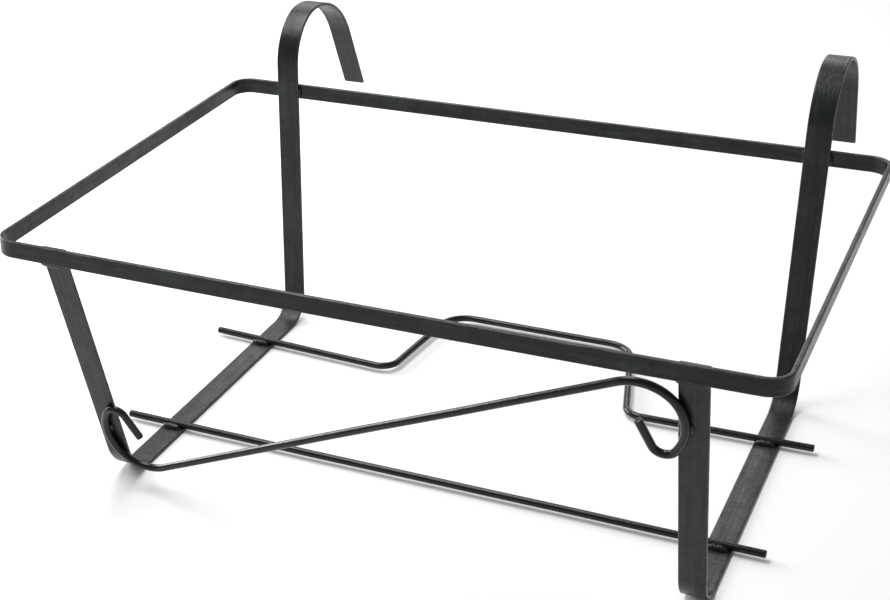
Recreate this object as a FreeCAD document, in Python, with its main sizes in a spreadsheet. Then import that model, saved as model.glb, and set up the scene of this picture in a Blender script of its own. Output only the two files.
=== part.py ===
import FreeCAD, Part
import math
import os

import Sketcher

# A hanging holder for a window box, welded from flat steel strip and round wire.
#
# Two brackets are each one strip, bent into a front leg, a floor bar, a back bar and a rail
# hook. A rectangular hoop of strip on edge joins them at the top and carries the box's rim.
# Two cross rods lie on the floor bars under the box. The rear one is bent backward in its
# middle into a bumper that keeps the holder off the rail or wall. An S-shaped scroll of the
# same wire lies against the front of both legs.
#
# Sketches are drawn with X from the hoop's left face, Y back from the hoop's front face and
# Z up from the underside of the floor bars. Each piece's placement then moves the model so
# that its origin is the centre of its footprint. Lengths are in millimetres, angles in degrees.

doc = FreeCAD.newDocument("WindowBoxHolder")

# ---------------------------------------------------------------- driving dimensions

SIZES = [
    ("hoop_width", 400, "hoop, outside, left to right"),
    ("hoop_depth", 277, "hoop, outside, front to back"),
    ("hoop_top_height", 161, "top edge of the hoop above the floor bars' underside"),
    ("hoop_strip_height", 9, "width of the hoop's strip, which stands on edge"),
    ("hoop_strip_thickness", 2.5, "thickness of the hoop's strip"),
    ("hoop_corner_radius", 12, "outside radius of the hoop's corners"),
    ("bracket_width", 14, "width of the brackets' strip"),
    ("bracket_thickness", 2, "thickness of the brackets' strip"),
    ("left_bracket_inset", 36, "hoop's left face to the middle of the left bracket"),
    ("right_bracket_inset", 40.7, "hoop's right face to the middle of the right bracket"),
    ("leg_end_drop", 0.8, "hoop's top edge down to the end of the leg"),
    ("leg_tab_length", 3.5, "flat end of the leg, against the inside of the hoop"),
    ("leg_tab_radius", 3, "inside radius of the bend below the flat end"),
    ("leg_lean", 17.3, "lean of the leg from the vertical"),
    ("foot_radius", 26, "inside radius of the bend from leg to floor bar"),
    ("back_radius", 16.5, "inside radius of the bend from floor bar to back bar"),
    ("hook_top_height", 203.5, "top of the hook above the floor bars' underside"),
    ("hook_front_radius", 31, "outside radius of the hook's front bend, a quarter turn"),
    ("hook_rear_radius", 57, "outside radius of the hook's rear bend"),
    ("hook_rear_turn", 62, "turn of the hook's rear bend"),
    ("hook_limb_length", 47, "straight end of the hook"),
    ("rod_diameter", 4.2, "round wire of the cross rods and the scroll"),
    ("front_rod_setback", 107.3, "hoop's front face to the middle of the front rod"),
    ("front_rod_left_overhang", 23.2, "front rod past the left bracket"),
    ("front_rod_right_overhang", 17, "front rod past the right bracket"),
    ("rear_rod_setback", 220.8, "hoop's front face to the rear rod where its bumper starts"),
    ("rear_rod_left_overhang", 26.3, "rear rod past the left bracket"),
    ("rear_rod_right_overhang", 19, "rear rod past the right bracket"),
    ("left_arm_sweep", 3.2, "backward sweep of the rear rod's left arm"),
    ("right_arm_sweep", 1.5, "backward sweep of the rear rod's right arm"),
    ("bumper_start", 80.8, "middle of the left bracket to the start of the bumper's first bend"),
    ("bumper_reach", 84.5, "rear rod's arms back to the bumper's straight, middle to middle"),
    ("bumper_straight", 90, "straight back stretch of the bumper"),
    ("bumper_left_slope", 84, "angle of the bumper's left side to the rod"),
    ("bumper_right_slope", 76, "angle of the bumper's right side to the rod"),
    ("bumper_root_radius", 11, "bends where the bumper leaves the rod's line, to the wire's middle"),
    ("bumper_corner_radius", 18, "back corners of the bumper, to the wire's middle"),
    ("scroll_offset", -2.1, "middle of the scroll from midway between the brackets"),
    ("scroll_top_gap", 3, "hoop's lower edge down to the scroll, along the slope of the legs"),
    ("scroll_foot_gap", 12.6, "floor up to the scroll, along the slope of the legs"),
    ("scroll_side_inset", 0.95, "half of the brackets' spacing, less the scroll's half width"),
    ("scroll_first_radius", 20.4, "first bend of each curl, to the wire's middle"),
    ("scroll_side_radius", 29.4, "long side of each curl, to the wire's middle"),
    ("scroll_side_slope", 65, "downward slope where the long side starts"),
    ("scroll_side_turn", 57.3, "turn of the long side"),
    ("scroll_tip_radius", 6, "tight last bend of each curl, to the wire's middle"),
    ("scroll_tip_turn", 125.8, "turn of the last bend"),
    ("scroll_tail", 16.4, "straight tail after the last bend"),
    ("hoop_bead_length", 12, "weld bead across a bracket, on the hoop"),
    ("hoop_bead_size", 3.4, "width of that bead"),
    ("edge_bead_length", 7, "weld bead up an edge of a back bar, on the hoop"),
    ("edge_bead_size", 2.6, "width of that bead"),
    ("rod_bead_length", 9, "weld bead along a rod, on a floor bar"),
    ("rod_bead_size", 3.6, "width of that bead"),
    ("tack_length", 6, "weld tack along the scroll, on a leg"),
    ("tack_size", 2.8, "width of that tack"),
]

sizes = doc.addObject("Spreadsheet::Sheet", "Sizes")
for row, (alias, number, note) in enumerate(SIZES, start=1):
    sizes.set(f"A{row}", note)
    sizes.set(f"B{row}", str(number))
    sizes.setAlias(f"B{row}", alias)

# ---------------------------------------------------------------- values that follow from them

DERIVED = [
    # A leg starts flat inside the hoop, bends out to its lean, and meets the floor bar.
    ("leg_face_start", "Sizes.hoop_strip_thickness + Sizes.bracket_thickness"),
    ("leg_start_height", "Sizes.hoop_top_height - Sizes.leg_end_drop"),
    ("leg_run",
     "(leg_start_height - Sizes.leg_tab_length - Sizes.leg_tab_radius * sin(Sizes.leg_lean)"
     " - Sizes.foot_radius * (1 - sin(Sizes.leg_lean)) - Sizes.bracket_thickness)"
     " / cos(Sizes.leg_lean)"),
    ("foot_end",
     "leg_face_start + Sizes.leg_tab_radius * (1 - cos(Sizes.leg_lean))"
     " + leg_run * sin(Sizes.leg_lean) + Sizes.foot_radius * cos(Sizes.leg_lean)"),
    # The back bar's back face lies against the inside of the hoop.
    ("back_face", "Sizes.hoop_depth - Sizes.hoop_strip_thickness - Sizes.bracket_thickness"),
    ("floor_run", "back_face - Sizes.back_radius - foot_end"),
    ("back_run",
     "Sizes.hook_top_height - Sizes.hook_front_radius - Sizes.bracket_thickness"
     " - Sizes.back_radius"),
    ("overall_depth",
     "back_face + Sizes.hook_front_radius + Sizes.hook_rear_radius * sin(Sizes.hook_rear_turn)"
     " + Sizes.hook_limb_length * cos(Sizes.hook_rear_turn)"),
    # Where the legs' front faces would meet the floor, and the plane of the scroll's wire.
    ("leg_front_start",
     "leg_face_start + Sizes.leg_tab_radius"
     " - (Sizes.leg_tab_radius + Sizes.bracket_thickness) * cos(Sizes.leg_lean)"),
    ("leg_front_height",
     "leg_start_height - Sizes.leg_tab_length"
     " - (Sizes.leg_tab_radius + Sizes.bracket_thickness) * sin(Sizes.leg_lean)"),
    ("foot_corner", "leg_front_start + leg_front_height * tan(Sizes.leg_lean)"),
    ("wire_radius", "Sizes.rod_diameter / 2"),
    ("scroll_plane_y", "foot_corner - wire_radius * cos(Sizes.leg_lean)"),
    ("scroll_plane_z", "-wire_radius * sin(Sizes.leg_lean)"),
    # Middles of the brackets, and the rods that lie on their floor bars.
    ("left_middle", "Sizes.left_bracket_inset"),
    ("right_middle", "Sizes.hoop_width - Sizes.right_bracket_inset"),
    ("rod_height", "Sizes.bracket_thickness + wire_radius"),
    ("front_rod_start",
     "left_middle - Sizes.bracket_width / 2 - Sizes.front_rod_left_overhang"),
    ("front_rod_length",
     "right_middle + Sizes.bracket_width / 2 + Sizes.front_rod_right_overhang"
     " - front_rod_start"),
    ("rear_rod_start", "left_middle - Sizes.bracket_width / 2 - Sizes.rear_rod_left_overhang"),
    ("rear_rod_end", "right_middle + Sizes.bracket_width / 2 + Sizes.rear_rod_right_overhang"),
    ("bumper_root", "left_middle + Sizes.bumper_start"),
    ("left_arm_run", "(bumper_root - rear_rod_start) / cos(Sizes.left_arm_sweep)"),
    ("rear_rod_start_y", "Sizes.rear_rod_setback + left_arm_run * sin(Sizes.left_arm_sweep)"),
    ("bumper_left_run",
     "(Sizes.bumper_reach"
     " - Sizes.bumper_root_radius * (cos(Sizes.left_arm_sweep) - cos(Sizes.bumper_left_slope))"
     " - Sizes.bumper_corner_radius * (1 - cos(Sizes.bumper_left_slope)))"
     " / sin(Sizes.bumper_left_slope)"),
    ("bumper_right_run",
     "(Sizes.bumper_reach"
     " - Sizes.bumper_root_radius * (cos(Sizes.right_arm_sweep) - cos(Sizes.bumper_right_slope))"
     " - Sizes.bumper_corner_radius * (1 - cos(Sizes.bumper_right_slope)))"
     " / sin(Sizes.bumper_right_slope)"),
    ("bumper_left_width",
     "Sizes.bumper_root_radius * (sin(Sizes.bumper_left_slope) + sin(Sizes.left_arm_sweep))"
     " + bumper_left_run * cos(Sizes.bumper_left_slope)"
     " + Sizes.bumper_corner_radius * sin(Sizes.bumper_left_slope)"),
    ("bumper_right_width",
     "Sizes.bumper_root_radius * (sin(Sizes.bumper_right_slope) + sin(Sizes.right_arm_sweep))"
     " + bumper_right_run * cos(Sizes.bumper_right_slope)"
     " + Sizes.bumper_corner_radius * sin(Sizes.bumper_right_slope)"),
    ("bumper_end",
     "bumper_root + bumper_left_width + Sizes.bumper_straight + bumper_right_width"),
    ("right_arm_run", "(rear_rod_end - bumper_end) / cos(Sizes.right_arm_sweep)"),
    ("rear_cross_left_y",
     "Sizes.rear_rod_setback + (bumper_root - left_middle) * tan(Sizes.left_arm_sweep)"),
    ("rear_cross_right_y",
     "Sizes.rear_rod_setback + (right_middle - bumper_end) * tan(Sizes.right_arm_sweep)"),
    # The scroll fills the height between floor and hoop and the width between the brackets.
    # From its middle to the centre of its first bend it goes so far across and so far up.
    ("scroll_middle", "(left_middle + right_middle) / 2 + Sizes.scroll_offset"),
    ("scroll_top",
     "(Sizes.hoop_top_height - Sizes.hoop_strip_height) / cos(Sizes.leg_lean)"
     " - Sizes.scroll_top_gap"),
    ("scroll_height", "(scroll_top + Sizes.scroll_foot_gap) / 2"),
    ("scroll_reach_across", "(right_middle - left_middle) / 2 - Sizes.scroll_side_inset"),
    ("scroll_bend_across",
     "scroll_reach_across - Sizes.scroll_first_radius * sin(Sizes.scroll_side_slope)"
     " - Sizes.scroll_side_radius * (1 - sin(Sizes.scroll_side_slope))"),
    ("scroll_bend_up",
     "(scroll_top - Sizes.scroll_foot_gap) / 2 - wire_radius - Sizes.scroll_first_radius"),
    # Its straight touches both first bends, which gives the straight's length and slope.
    ("scroll_half_run",
     "sqrt(scroll_bend_across ^ 2 + scroll_bend_up ^ 2 - Sizes.scroll_first_radius ^ 2)"),
    ("scroll_slope",
     "(atan(scroll_bend_up / scroll_bend_across)"
     " + atan(Sizes.scroll_first_radius / scroll_half_run)) / (1 deg)"),
    ("scroll_first_turn", "scroll_slope + Sizes.scroll_side_slope"),
    ("scroll_tail_heading",
     "-Sizes.scroll_side_slope - Sizes.scroll_side_turn - Sizes.scroll_tip_turn"),
    ("scroll_reach_up",
     "scroll_bend_up"
     " - (Sizes.scroll_side_radius - Sizes.scroll_first_radius) * cos(Sizes.scroll_side_slope)"),
]

derived = doc.addObject("Spreadsheet::Sheet", "Derived")
for row, (alias, formula) in enumerate(DERIVED, start=1):
    derived.set(f"A{row}", alias.replace("_", " "))
    derived.set(f"B{row}", "=" + formula)
    derived.setAlias(f"B{row}", alias)
doc.recompute()


def number_of(expression):
    """The value of an expression on the two sheets."""
    return float(sizes.evalExpression(expression))


# ---------------------------------------------------------------- sketches of bent material


def new_body(label):
    body = doc.addObject("PartDesign::Body", label)
    body.Label = label
    return body


def new_sketch(body, name, plane_role, lift="0"):
    """A sketch on one of the body's own origin planes, lifted off it by an expression."""
    sketch = body.newObject("Sketcher::SketchObject", name)
    plane = next(f for f in body.Origin.OriginFeatures if f.Role == plane_role)
    sketch.AttachmentSupport = [(plane, "")]
    sketch.MapMode = "FlatFace"
    sketch.setExpression("AttachmentOffset.Base.z", lift)
    return sketch


def bind(sketch, name, expression, *constraint):
    """Adds a dimension whose value is an expression on the sheets."""
    number = number_of(expression)
    kind = constraint[0]
    if kind == "Angle":
        number = math.radians(number)
    index = sketch.addConstraint(Sketcher.Constraint(*constraint, number))
    sketch.renameConstraint(index, name)
    sketch.setExpression(f"Constraints.{name}", expression)


def pin(sketch, name, geometry, end, x_expression, y_expression):
    """Fixes a point of the sketch at a distance from its origin."""
    bind(sketch, f"{name}_x", x_expression, "DistanceX", -1, 1, geometry, end)
    bind(sketch, f"{name}_y", y_expression, "DistanceY", -1, 1, geometry, end)


def chain_shapes(start, heading, steps):
    """Lines and arcs laid end to end, with which end of each comes first.

    A step is ("run", length) or ("bend", radius, turn), all as expressions. A positive turn
    bends to the left of the way the chain is heading. Returns [(shape, first, last)] and the
    chain's end point.
    """
    shapes = []
    point = FreeCAD.Vector(*start, 0)
    axis = FreeCAD.Vector(0, 0, 1)
    for step in steps:
        ahead = FreeCAD.Vector(math.cos(math.radians(heading)), math.sin(math.radians(heading)), 0)
        left = axis.cross(ahead)
        if step[0] == "run":
            end = point + ahead * number_of(step[1])
            shapes.append((Part.LineSegment(point, end), 1, 2))
            point = end
            continue
        radius = number_of(step[1])
        turn = number_of(step[2])
        side = math.copysign(1, turn)
        centre = point + left * (radius * side)
        first_angle = math.radians(heading - 90 * side)
        last_angle = first_angle + math.radians(turn)
        circle = Part.Circle(centre, axis, radius)
        if turn > 0:
            shapes.append((Part.ArcOfCircle(circle, first_angle, last_angle), 1, 2))
        else:
            shapes.append((Part.ArcOfCircle(circle, last_angle, first_angle), 2, 1))
        reach = FreeCAD.Vector(math.cos(last_angle), math.sin(last_angle), 0)
        point = centre + reach * radius
        heading += turn
    return shapes, point


def add_chain(sketch, name, start, heading, steps):
    """Draws a chain and binds each run's length and each bend's radius and turn.

    Returns [(geometry, first, last)] in order.
    """
    shapes, _ = chain_shapes(start, heading, steps)
    links = []
    for number, ((shape, first, last), step) in enumerate(zip(shapes, steps), start=1):
        geometry = sketch.addGeometry(shape, False)
        if links:
            before, _, before_last = links[-1]
            joint = Sketcher.Constraint("Tangent", before, before_last, geometry, first)
            sketch.addConstraint(joint)
        if step[0] == "run":
            bind(sketch, f"{name}_run_{number}", step[1], "Distance", geometry)
        else:
            bind(sketch, f"{name}_radius_{number}", step[1], "Radius", geometry)
            bind(sketch, f"{name}_turn_{number}", f"abs({step[2]})", "Angle", geometry)
        links.append((geometry, first, last))
    return links


def bracket_outline(sketch, steps, thickness):
    """A closed outline of bent strip in the YZ plane, from the top of the leg downward.

    The steps follow the strip's face towards the box. The other face lies to their right.
    """
    start = (number_of("Derived.leg_face_start"), number_of("Derived.leg_start_height"))
    near = add_chain(sketch, "near", start, -90, steps)
    pin(sketch, "start", near[0][0], 1, "Derived.leg_face_start", "Derived.leg_start_height")
    sketch.addConstraint(Sketcher.Constraint("Vertical", near[0][0]))

    far_steps = []
    for step in steps:
        if step[0] == "bend":
            outward = number_of(step[2]) > 0
            step = ("bend", f"{step[1]} {'+' if outward else '-'} {thickness}", step[2])
        far_steps.append(step)
    far_start = (start[0] - number_of(thickness), start[1])
    far = add_chain(sketch, "far", far_start, -90, far_steps)
    sketch.addConstraint(Sketcher.Constraint("Vertical", far[0][0]))

    def end_line(near_geometry, near_end, far_geometry, far_end):
        line = Part.LineSegment(
            sketch.getPoint(near_geometry, near_end), sketch.getPoint(far_geometry, far_end)
        )
        geometry = sketch.addGeometry(line, False)
        sketch.addConstraint(
            Sketcher.Constraint("Coincident", geometry, 1, near_geometry, near_end)
        )
        sketch.addConstraint(Sketcher.Constraint("Coincident", geometry, 2, far_geometry, far_end))
        return geometry

    top = end_line(near[0][0], near[0][1], far[0][0], far[0][1])
    sketch.addConstraint(Sketcher.Constraint("Horizontal", top))
    bind(sketch, "strip_thickness", thickness, "Distance", top)
    end_line(near[-1][0], near[-1][2], far[-1][0], far[-1][2])


def add_pad(body, sketch, length, symmetric):
    pad = body.newObject("PartDesign::Pad", f"{body.Label}_pad")
    pad.Profile = sketch
    pad.setExpression("Length", length)
    pad.SideType = "Symmetric" if symmetric else "One side"
    body.Tip = pad
    return pad


def add_wire_pipe(body, path):
    """Round wire along a path sketch, square to its first edge."""
    ring = body.newObject("Sketcher::SketchObject", f"{body.Label}_section")
    ring.AttachmentSupport = [(path, "Edge1")]
    ring.MapMode = "NormalToEdge"
    ring.MapPathParameter = 0.0
    add_circle(ring, (0, 0))
    ring.addConstraint(Sketcher.Constraint("Coincident", 0, 3, -1, 1))
    pipe = body.newObject("PartDesign::AdditivePipe", f"{body.Label}_pipe")
    pipe.Profile = ring
    pipe.Spine = (path, [])
    pipe.Transition = "Right corner"
    body.Tip = pipe


def add_circle(sketch, centre):
    radius = number_of("Derived.wire_radius")
    circle = Part.Circle(FreeCAD.Vector(*centre, 0), FreeCAD.Vector(0, 0, 1), radius)
    sketch.addGeometry(circle, False)
    bind(sketch, "wire_radius", "Derived.wire_radius", "Radius", 0)


def place(piece, x="0", y="0", z="0", tilt=None):
    """Places a piece given in hoop coordinates so that the model's footprint is centred."""
    axis = FreeCAD.Vector(1, 0, 0)
    if tilt:
        turn = FreeCAD.Rotation(axis, number_of(tilt))
        piece.Placement = FreeCAD.Placement(FreeCAD.Vector(), turn)
        piece.setExpression("Placement.Rotation.Angle", tilt)
    piece.setExpression("Placement.Base.x", f"{x} - Sizes.hoop_width / 2")
    piece.setExpression("Placement.Base.y", f"{y} - Derived.overall_depth / 2")
    piece.setExpression("Placement.Base.z", z)


# ---------------------------------------------------------------- hoop


def rectangle(sketch, name, inset):
    """A rectangle inside the hoop's outside faces, all round by an expression."""
    low = number_of(inset)
    right = number_of("Sizes.hoop_width") - low
    back = number_of("Sizes.hoop_depth") - low
    corners = [(low, low), (right, low), (right, back), (low, back)]
    points = [FreeCAD.Vector(x, y, 0) for x, y in corners]
    sides = []
    for here, there in zip(points, points[1:] + points[:1]):
        sides.append(sketch.addGeometry(Part.LineSegment(here, there), False))
    for side, following in zip(sides, sides[1:] + sides[:1]):
        sketch.addConstraint(Sketcher.Constraint("Coincident", side, 2, following, 1))
    for side, kind in zip(sides, ["Horizontal", "Vertical"] * 2):
        sketch.addConstraint(Sketcher.Constraint(kind, side))
    bind(sketch, f"{name}_width", f"Sizes.hoop_width - 2 * {inset}", "Distance", sides[0])
    bind(sketch, f"{name}_depth", f"Sizes.hoop_depth - 2 * {inset}", "Distance", sides[1])
    return sides[0]


def upright_edges(shape, left_x):
    """Names of the upright edges at the four corners of a rectangle with this left side."""
    right_x = number_of("Sizes.hoop_width") - left_x
    names = []
    for number, edge in enumerate(shape.Edges, start=1):
        box = edge.BoundBox
        upright = box.XLength < 1e-6 and box.YLength < 1e-6
        if upright and min(abs(box.XMin - left_x), abs(box.XMin - right_x)) < 1e-6:
            names.append(f"Edge{number}")
    return names


def round_corners(body, base, name, left_x, radius):
    fillet = body.newObject("PartDesign::Fillet", name)
    fillet.Base = (base, upright_edges(base.Shape, left_x))
    fillet.setExpression("Radius", radius)
    body.Tip = fillet
    doc.recompute()
    return fillet


def make_hoop():
    body = new_body("hoop")
    lift = "Sizes.hoop_top_height - Sizes.hoop_strip_height"
    sketch = new_sketch(body, "hoop_sketch", "XY_Plane", lift)
    outside = rectangle(sketch, "outside", "0")
    sketch.addConstraint(Sketcher.Constraint("Coincident", outside, 1, -1, 1))
    thickness = "Sizes.hoop_strip_thickness"
    inside = rectangle(sketch, "inside", thickness)
    pin(sketch, "inside", inside, 1, thickness, thickness)
    pad = add_pad(body, sketch, "Sizes.hoop_strip_height", False)
    doc.recompute()
    outer = round_corners(body, pad, "outer_corners", 0, "Sizes.hoop_corner_radius")
    inner_radius = f"Sizes.hoop_corner_radius - {thickness}"
    round_corners(body, outer, "inner_corners", number_of(thickness), inner_radius)
    place(body)
    return body


# ---------------------------------------------------------------- brackets

BRACKET_STEPS = [
    ("run", "Sizes.leg_tab_length"),
    ("bend", "Sizes.leg_tab_radius", "Sizes.leg_lean"),
    ("run", "Derived.leg_run"),
    ("bend", "Sizes.foot_radius", "(90 - Sizes.leg_lean)"),
    ("run", "Derived.floor_run"),
    ("bend", "Sizes.back_radius", "90"),
    ("run", "Derived.back_run"),
    ("bend", "Sizes.hook_front_radius", "(-90)"),
    ("bend", "Sizes.hook_rear_radius", "(-Sizes.hook_rear_turn)"),
    ("run", "Sizes.hook_limb_length"),
]


def make_bracket(label, middle):
    body = new_body(label)
    sketch = new_sketch(body, f"{label}_sketch", "YZ_Plane")
    bracket_outline(sketch, BRACKET_STEPS, "Sizes.bracket_thickness")
    add_pad(body, sketch, "Sizes.bracket_width", True)
    place(body, x=middle)
    return body


# ---------------------------------------------------------------- cross rods


def make_front_rod():
    body = new_body("front_cross_rod")
    sketch = new_sketch(body, "front_rod_sketch", "YZ_Plane", "Derived.front_rod_start")
    add_circle(sketch, (number_of("Sizes.front_rod_setback"), number_of("Derived.rod_height")))
    pin(sketch, "middle", 0, 3, "Sizes.front_rod_setback", "Derived.rod_height")
    add_pad(body, sketch, "Derived.front_rod_length", False)
    place(body)
    return body


REAR_ROD_STEPS = [
    ("run", "Derived.left_arm_run"),
    ("bend", "Sizes.bumper_root_radius", "(Sizes.left_arm_sweep + Sizes.bumper_left_slope)"),
    ("run", "Derived.bumper_left_run"),
    ("bend", "Sizes.bumper_corner_radius", "(-Sizes.bumper_left_slope)"),
    ("run", "Sizes.bumper_straight"),
    ("bend", "Sizes.bumper_corner_radius", "(-Sizes.bumper_right_slope)"),
    ("run", "Derived.bumper_right_run"),
    ("bend", "Sizes.bumper_root_radius", "(Sizes.bumper_right_slope + Sizes.right_arm_sweep)"),
    ("run", "Derived.right_arm_run"),
]


def make_rear_rod():
    body = new_body("rear_cross_rod")
    path = new_sketch(body, "rear_rod_path", "XY_Plane", "Derived.rod_height")
    start = (number_of("Derived.rear_rod_start"), number_of("Derived.rear_rod_start_y"))
    heading = -number_of("Sizes.left_arm_sweep")
    links = add_chain(path, "rod", start, heading, REAR_ROD_STEPS)
    pin(path, "start", links[0][0], 1, "Derived.rear_rod_start", "Derived.rear_rod_start_y")
    bind(path, "sweep", "-Sizes.left_arm_sweep", "Angle", links[0][0])
    add_wire_pipe(body, path)
    place(body)
    return body


# ---------------------------------------------------------------- scroll

# The right half of the S, from its middle outward. The left half is the same, half a turn round.
CURL_STEPS = [
    ("run", "Derived.scroll_half_run"),
    ("bend", "Sizes.scroll_first_radius", "(-Derived.scroll_first_turn)"),
    ("bend", "Sizes.scroll_side_radius", "(-Sizes.scroll_side_turn)"),
    ("bend", "Sizes.scroll_tip_radius", "(-Sizes.scroll_tip_turn)"),
    ("run", "Sizes.scroll_tail"),
]


def scroll_steps():
    """The whole S from the end of its left tail to the end of its right tail."""
    straight = ("run", "2 * Derived.scroll_half_run")
    outward = CURL_STEPS[1:]
    inward = []
    for step in reversed(outward):
        if step[0] == "bend":
            step = ("bend", step[1], f"(-{step[2]})")
        inward.append(step)
    return inward + [straight] + outward


def make_scroll():
    body = new_body("front_scroll")
    path = new_sketch(body, "scroll_path", "XZ_Plane")
    height = number_of("Derived.scroll_height")
    middle = FreeCAD.Vector(number_of("Derived.scroll_middle"), height, 0)
    slope = number_of("Derived.scroll_slope")
    _, right_end = chain_shapes((middle.x, middle.y), slope, CURL_STEPS)
    left_end = middle * 2 - right_end
    tail_heading = number_of("Derived.scroll_tail_heading")
    links = add_chain(path, "wire", (left_end.x, left_end.y), tail_heading, scroll_steps())

    straight = links[len(links) // 2][0]
    centre = path.addGeometry(Part.Point(middle), True)
    path.addConstraint(Sketcher.Constraint("Symmetric", straight, 1, straight, 2, centre, 1))
    pin(path, "middle", centre, 1, "Derived.scroll_middle", "Derived.scroll_height")
    bind(path, "slope", "Derived.scroll_slope", "Angle", straight)
    add_wire_pipe(body, path)
    place(body, y="Derived.scroll_plane_y", z="Derived.scroll_plane_z", tilt="Sizes.leg_lean")
    return body


# ---------------------------------------------------------------- weld beads


def bead(x, y, z, length, size, tilt=None, upright=False):
    """A bead with round ends, long across the holder, or long up the slope of the legs."""
    body = new_body("bead")
    sketch = new_sketch(body, "bead_outline", "XZ_Plane")
    if upright:
        quarter_turn = FreeCAD.Rotation(FreeCAD.Vector(0, 0, 1), 90)
        sketch.AttachmentOffset = FreeCAD.Placement(FreeCAD.Vector(), quarter_turn)

    axis = FreeCAD.Vector(0, 0, 1)
    radius = number_of(size) / 2
    end = number_of(length) / 2
    centre = end - radius
    middle_line = Part.LineSegment(FreeCAD.Vector(-end, 0, 0), FreeCAD.Vector(end, 0, 0))
    top_line = Part.LineSegment(
        FreeCAD.Vector(centre, radius, 0), FreeCAD.Vector(-centre, radius, 0)
    )
    right_circle = Part.Circle(FreeCAD.Vector(centre, 0, 0), axis, radius)
    left_circle = Part.Circle(FreeCAD.Vector(-centre, 0, 0), axis, radius)
    middle = sketch.addGeometry(middle_line, False)
    right = sketch.addGeometry(Part.ArcOfCircle(right_circle, 0, math.pi / 2), False)
    top = sketch.addGeometry(top_line, False)
    left = sketch.addGeometry(Part.ArcOfCircle(left_circle, math.pi / 2, math.pi), False)
    joints = [
        ("Coincident", middle, 2, right, 1),
        ("Tangent", right, 2, top, 1),
        ("Tangent", top, 2, left, 1),
        ("Coincident", left, 2, middle, 1),
        ("Horizontal", middle),
        ("Symmetric", middle, 1, middle, 2, -1, 1),
        ("PointOnObject", right, 3, middle),
        ("PointOnObject", left, 3, middle),
        ("Equal", right, left),
    ]
    for joint in joints:
        sketch.addConstraint(Sketcher.Constraint(*joint))
    bind(sketch, "bead_length", length, "Distance", middle)
    bind(sketch, "bead_radius", f"{size} / 2", "Radius", right)

    lump = body.newObject("PartDesign::Revolution", "bead_body")
    lump.Profile = sketch
    lump.ReferenceAxis = (sketch, ["H_Axis"])
    lump.Angle = 360
    body.Tip = lump
    place(body, x, y, z, tilt)
    return body


def make_welds(label, beads, joined):
    """One node of separate beads, trimmed to the faces of the pieces that they join."""
    piece = doc.addObject("Part::Compound", f"{label}_beads")
    piece.Links = beads
    for number, tool in enumerate(joined, start=1):
        trimmed = doc.addObject("Part::Cut", f"{label}_trim_{number}")
        trimmed.Base = piece
        trimmed.Tool = tool
        piece = trimmed
    piece.Label = label
    return piece


MIDDLES = ["Derived.left_middle", "Derived.right_middle"]
HOOP_BEAD = ("Sizes.hoop_bead_length", "Sizes.hoop_bead_size")
EDGE_BEAD = ("Sizes.edge_bead_length", "Sizes.edge_bead_size")
ROD_BEAD = ("Sizes.rod_bead_length", "Sizes.rod_bead_size")
TACK = ("Sizes.tack_length", "Sizes.tack_size")
# The middle of a bead on the hoop stands a little proud of the corner that the bead fills.
BEAD_LIFT = "Sizes.hoop_bead_size / 6"


def make_leg_welds(joined):
    """Under the hoop's front bar, in the corner that it makes with each leg."""
    y = f"Sizes.hoop_strip_thickness + {BEAD_LIFT}"
    z = f"Sizes.hoop_top_height - Sizes.hoop_strip_height - {BEAD_LIFT}"
    beads = [bead(x, y, z, *HOOP_BEAD) for x in MIDDLES]
    return make_welds("leg_welds", beads, joined)


def make_back_welds(joined):
    """Under the hoop's back bar, and down both edges of each back bar inside the hoop.

    None stands above the hoop's top edge, where the box's rim rests.
    """
    inside = "Sizes.hoop_depth - Sizes.hoop_strip_thickness"
    lower_edge = "Sizes.hoop_top_height - Sizes.hoop_strip_height"
    y = f"{inside} + {BEAD_LIFT}"
    beads = [bead(x, y, f"{lower_edge} - {BEAD_LIFT}", *HOOP_BEAD) for x in MIDDLES]
    y = f"{inside} - {BEAD_LIFT}"
    z = f"{lower_edge} + Sizes.hoop_strip_height / 2"
    for middle in MIDDLES:
        for edge in ("-", "+"):
            x = f"{middle} {edge} (Sizes.bracket_width / 2 + {BEAD_LIFT})"
            beads.append(bead(x, y, z, *EDGE_BEAD, upright=True))
    return make_welds("back_welds", beads, joined)


def make_rod_welds(joined):
    """On each side of each rod, where it crosses a floor bar."""
    crossings = [(middle, "Sizes.front_rod_setback") for middle in MIDDLES]
    crossings.append((MIDDLES[0], "Derived.rear_cross_left_y"))
    crossings.append((MIDDLES[1], "Derived.rear_cross_right_y"))
    z = "Sizes.bracket_thickness + Derived.wire_radius / 4"
    beads = []
    for x, y in crossings:
        beads.append(bead(x, f"{y} - Derived.wire_radius", z, *ROD_BEAD))
        beads.append(bead(x, f"{y} + Derived.wire_radius", z, *ROD_BEAD))
    return make_welds("rod_welds", beads, joined)


def make_scroll_welds(joined):
    """On each side of the scroll's wire, where each curl reaches furthest out over a leg."""
    beads = []
    for side in ("-", "+"):
        x = f"Derived.scroll_middle {side} Derived.scroll_reach_across"
        up = f"(Derived.scroll_height {side} Derived.scroll_reach_up)"
        y = f"Derived.foot_corner - {up} * sin(Sizes.leg_lean)"
        z = f"{up} * cos(Sizes.leg_lean)"
        for edge in ("-", "+"):
            place_x = f"{x} {edge} Derived.wire_radius"
            beads.append(bead(place_x, y, z, *TACK, tilt="Sizes.leg_lean", upright=True))
    return make_welds("scroll_welds", beads, joined)


# ---------------------------------------------------------------- the holder

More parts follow.
